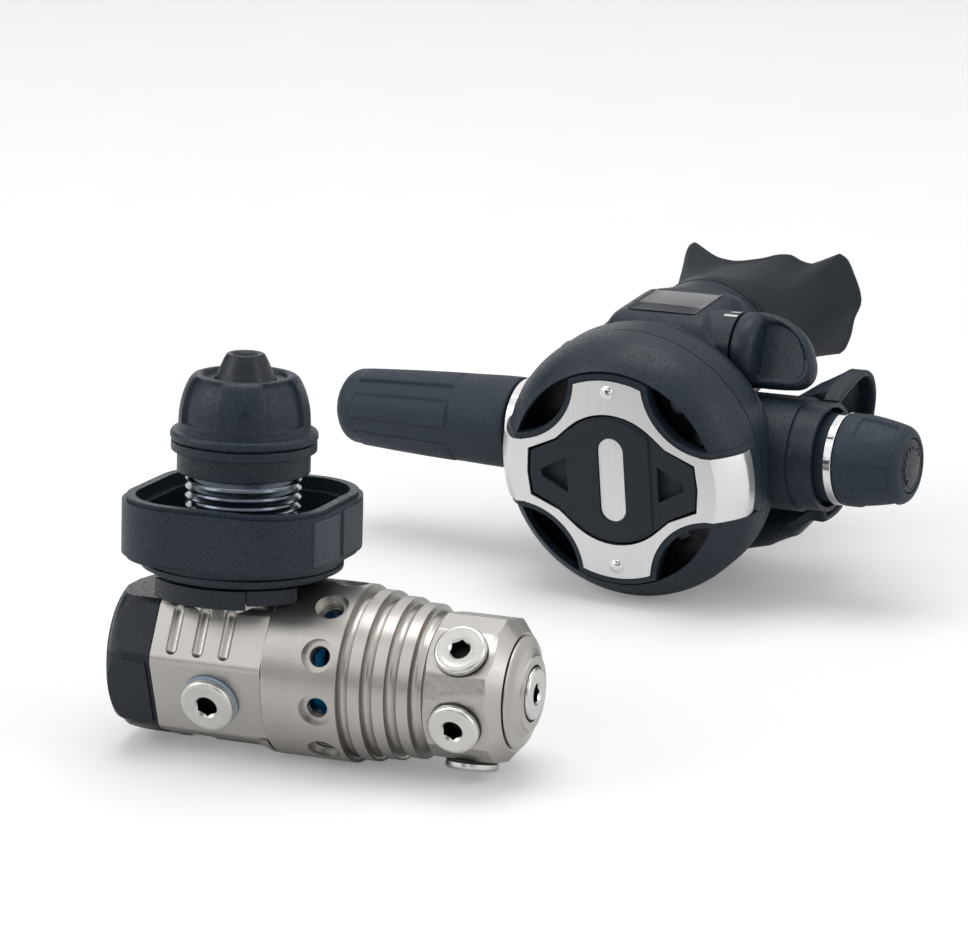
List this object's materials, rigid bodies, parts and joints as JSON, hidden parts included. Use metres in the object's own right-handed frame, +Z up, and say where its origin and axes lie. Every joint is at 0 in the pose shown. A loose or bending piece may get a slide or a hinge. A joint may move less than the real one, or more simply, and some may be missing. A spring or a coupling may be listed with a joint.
{
  "type": "scuba regulator set",
  "caption": "Piston first stage with a DIN handwheel, dust cap and swivel turret, and a second stage with purge button, effort knob, flow lever and mouthpiece.",
  "frame": {"origin": "centre of the footprint, on the plane both stages stand on", "axes": "+Z up, +X along the first stage from its end cover to its turret, +Y from the first stage back to the mouthpiece"},
  "size_m": [0.1582, 0.2466, 0.0897],
  "materials": {
    "satin_nickel": "satin nickel plate on brass",
    "brass": "machined",
    "steel": "machined",
    "plug_steel": "satin chrome plate",
    "plate_steel": "fine brushed",
    "chrome": "bright chrome plate",
    "blue_spring": "plastic coated spring steel",
    "black_plastic": "satin with a fine grain",
    "soft_black": "soft-touch moulded",
    "grip_rubber": "matt grey-blue",
    "seal_rubber": "smooth",
    "pale_seal": "smooth pale blue",
    "mouth_rubber": "moulded silicone",
    "silicone": "translucent silicone",
    "white_plastic": "smooth",
    "label_foil": "dark satin foil"
  },
  "bodies": {
    "first_stage": {"main_body": "satin_nickel", "ambient_body": "satin_nickel", "end_cover": "black_plastic", "seat_retainer": "brass", "shutoff_seat": "white_plastic", "main_spring": "blue_spring", "swivel_bolt": "satin_nickel", "tank_plugs": "plug_steel", "tank_plug_seals": "pale_seal", "axial_plug": "plug_steel", "axial_plug_seal": "seal_rubber", "inlet_stem": "chrome", "inlet_filter": "brass", "neck_shroud": "black_plastic"},
    "second_stage": {"case": "black_plastic", "front_cover": "black_plastic", "cover_plate": "plate_steel", "plate_pins": "chrome", "purge_spring": "steel", "inner_grille": "black_plastic", "diaphragm": "silicone", "valve_barrel": "chrome", "orifice": "brass", "poppet_spring": "steel", "inlet_ring": "chrome", "label_plate": "label_foil", "mouthpiece_clamp": "black_plastic", "mouthpiece": "mouth_rubber", "exhaust_tee": "black_plastic", "exhaust_valve": "silicone"},
    "piston": {"piston": "steel", "piston_seal": "seal_rubber"},
    "turret": {"turret": "satin_nickel", "lp_plugs": "plug_steel", "lp_plug_seals": "seal_rubber"},
    "handwheel": {"handwheel": "black_plastic", "grip_pads": "grip_rubber", "din_connector": "chrome", "wheel_skirt": "black_plastic"},
    "din_seal": {"din_seal": "seal_rubber"},
    "cap": {"cap_dome": "black_plastic", "cap_base": "black_plastic", "cap_nipple": "seal_rubber"},
    "hose_end": {"hose_sleeve": "soft_black", "hose_fitting": "chrome"},
    "knob": {"adjust_knob": "black_plastic", "knob_ring": "chrome", "knob_disc": "soft_black"},
    "spindle": {"adjust_spindle": "brass"},
    "flow_lever": {"venturi_lever": "black_plastic", "venturi_vane": "black_plastic"},
    "purge_button": {"purge_button": "soft_black", "button_inlay": "plate_steel"},
    "diaphragm_disc": {"diaphragm_disc": "steel"},
    "demand_lever": {"demand_lever": "steel"},
    "poppet": {"poppet": "white_plastic"}
  },
  "joints": [
    {"name": "second_stage_lift", "type": "slide", "parent": "first_stage", "child": "second_stage", "axis": [0, 0, 1], "range_m": [0, 0.15]},
    {"name": "piston_slide", "type": "slide", "parent": "first_stage", "child": "piston", "axis": [-1, 0, 0], "range_m": [0, 0.0012], "stiffness_N_per_m": 20000, "deforming": ["main_spring"]},
    {"name": "turret_swivel", "type": "hinge", "parent": "first_stage", "child": "turret", "pos_m": [0.0152, -0.1013, 0.02], "axis": [1, 0, 0], "continuous": true},
    {"name": "handwheel_turn", "type": "hinge", "parent": "first_stage", "child": "handwheel", "pos_m": [-0.0408, -0.09868, 0.04989], "axis": [0, 0.0872, 0.9962], "continuous": true},
    {"name": "cap_turn", "type": "hinge", "parent": "handwheel", "child": "din_seal", "pos_m": [-0.0408, -0.09738, 0.06483], "axis": [0, 0.0872, 0.9962], "range_deg": [0, 1802]},
    {"name": "cap_lift", "type": "slide", "parent": "din_seal", "child": "cap", "axis": [0, 0.0872, 0.9962], "range_m": [0, 0.01]},
    {"name": "hose_swivel", "type": "hinge", "parent": "second_stage", "child": "hose_end", "pos_m": [-0.05365, 0.05699, 0.03308], "axis": [0.9893, -0.1415, 0.0348], "continuous": true},
    {"name": "effort_knob", "type": "hinge", "parent": "second_stage", "child": "knob", "pos_m": [0.06695, 0.03974, 0.03732], "axis": [0.9893, -0.1415, 0.0348], "range_deg": [0, 1082]},
    {"name": "effort_spindle", "type": "slide", "parent": "second_stage", "child": "spindle", "axis": [0.9893, -0.1415, 0.0348], "range_m": [0, 0.00225]},
    {"name": "flow_lever_turn", "type": "hinge", "parent": "second_stage", "child": "flow_lever", "pos_m": [0.03192, 0.04789, 0.06037], "axis": [0.9893, -0.1415, 0.0348], "range_deg": [-45, 0]},
    {"name": "purge_press", "type": "slide", "parent": "second_stage", "child": "purge_button", "axis": [0.1388, 0.9879, 0.0698], "range_m": [0, 0.0035], "stiffness_N_per_m": 900, "springref_m": -0.002, "deforming": ["purge_spring", "diaphragm"]},
    {"name": "disc_move", "type": "slide", "parent": "second_stage", "child": "diaphragm_disc", "axis": [0.1388, 0.9879, 0.0698], "range_m": [0, 0.0035], "deforming": ["diaphragm"]},
    {"name": "demand_tilt", "type": "hinge", "parent": "second_stage", "child": "demand_lever", "pos_m": [0.02315, 0.03693, 0.0352], "axis": [-0.0443, -0.0642, 0.997], "range_deg": [-13.5, 0]},
    {"name": "poppet_open", "type": "slide", "parent": "second_stage", "child": "poppet", "axis": [0.9893, -0.1415, 0.0348], "range_m": [0, 0.00095], "deforming": ["poppet_spring"]}
  ],
  "couplings": [
    {"joint": "cap_turn", "follows": "cap_lift", "rad_per_m": 3141.6},
    {"joint": "effort_knob", "follows": "effort_spindle", "rad_per_m": 8377.6},
    {"joint": "disc_move", "follows": "purge_press", "ratio": 1},
    {"joint": "demand_tilt", "follows": "purge_press", "rad_per_m": -62.5},
    {"joint": "poppet_open", "follows": "purge_press", "ratio": 0.2375}
  ]
}
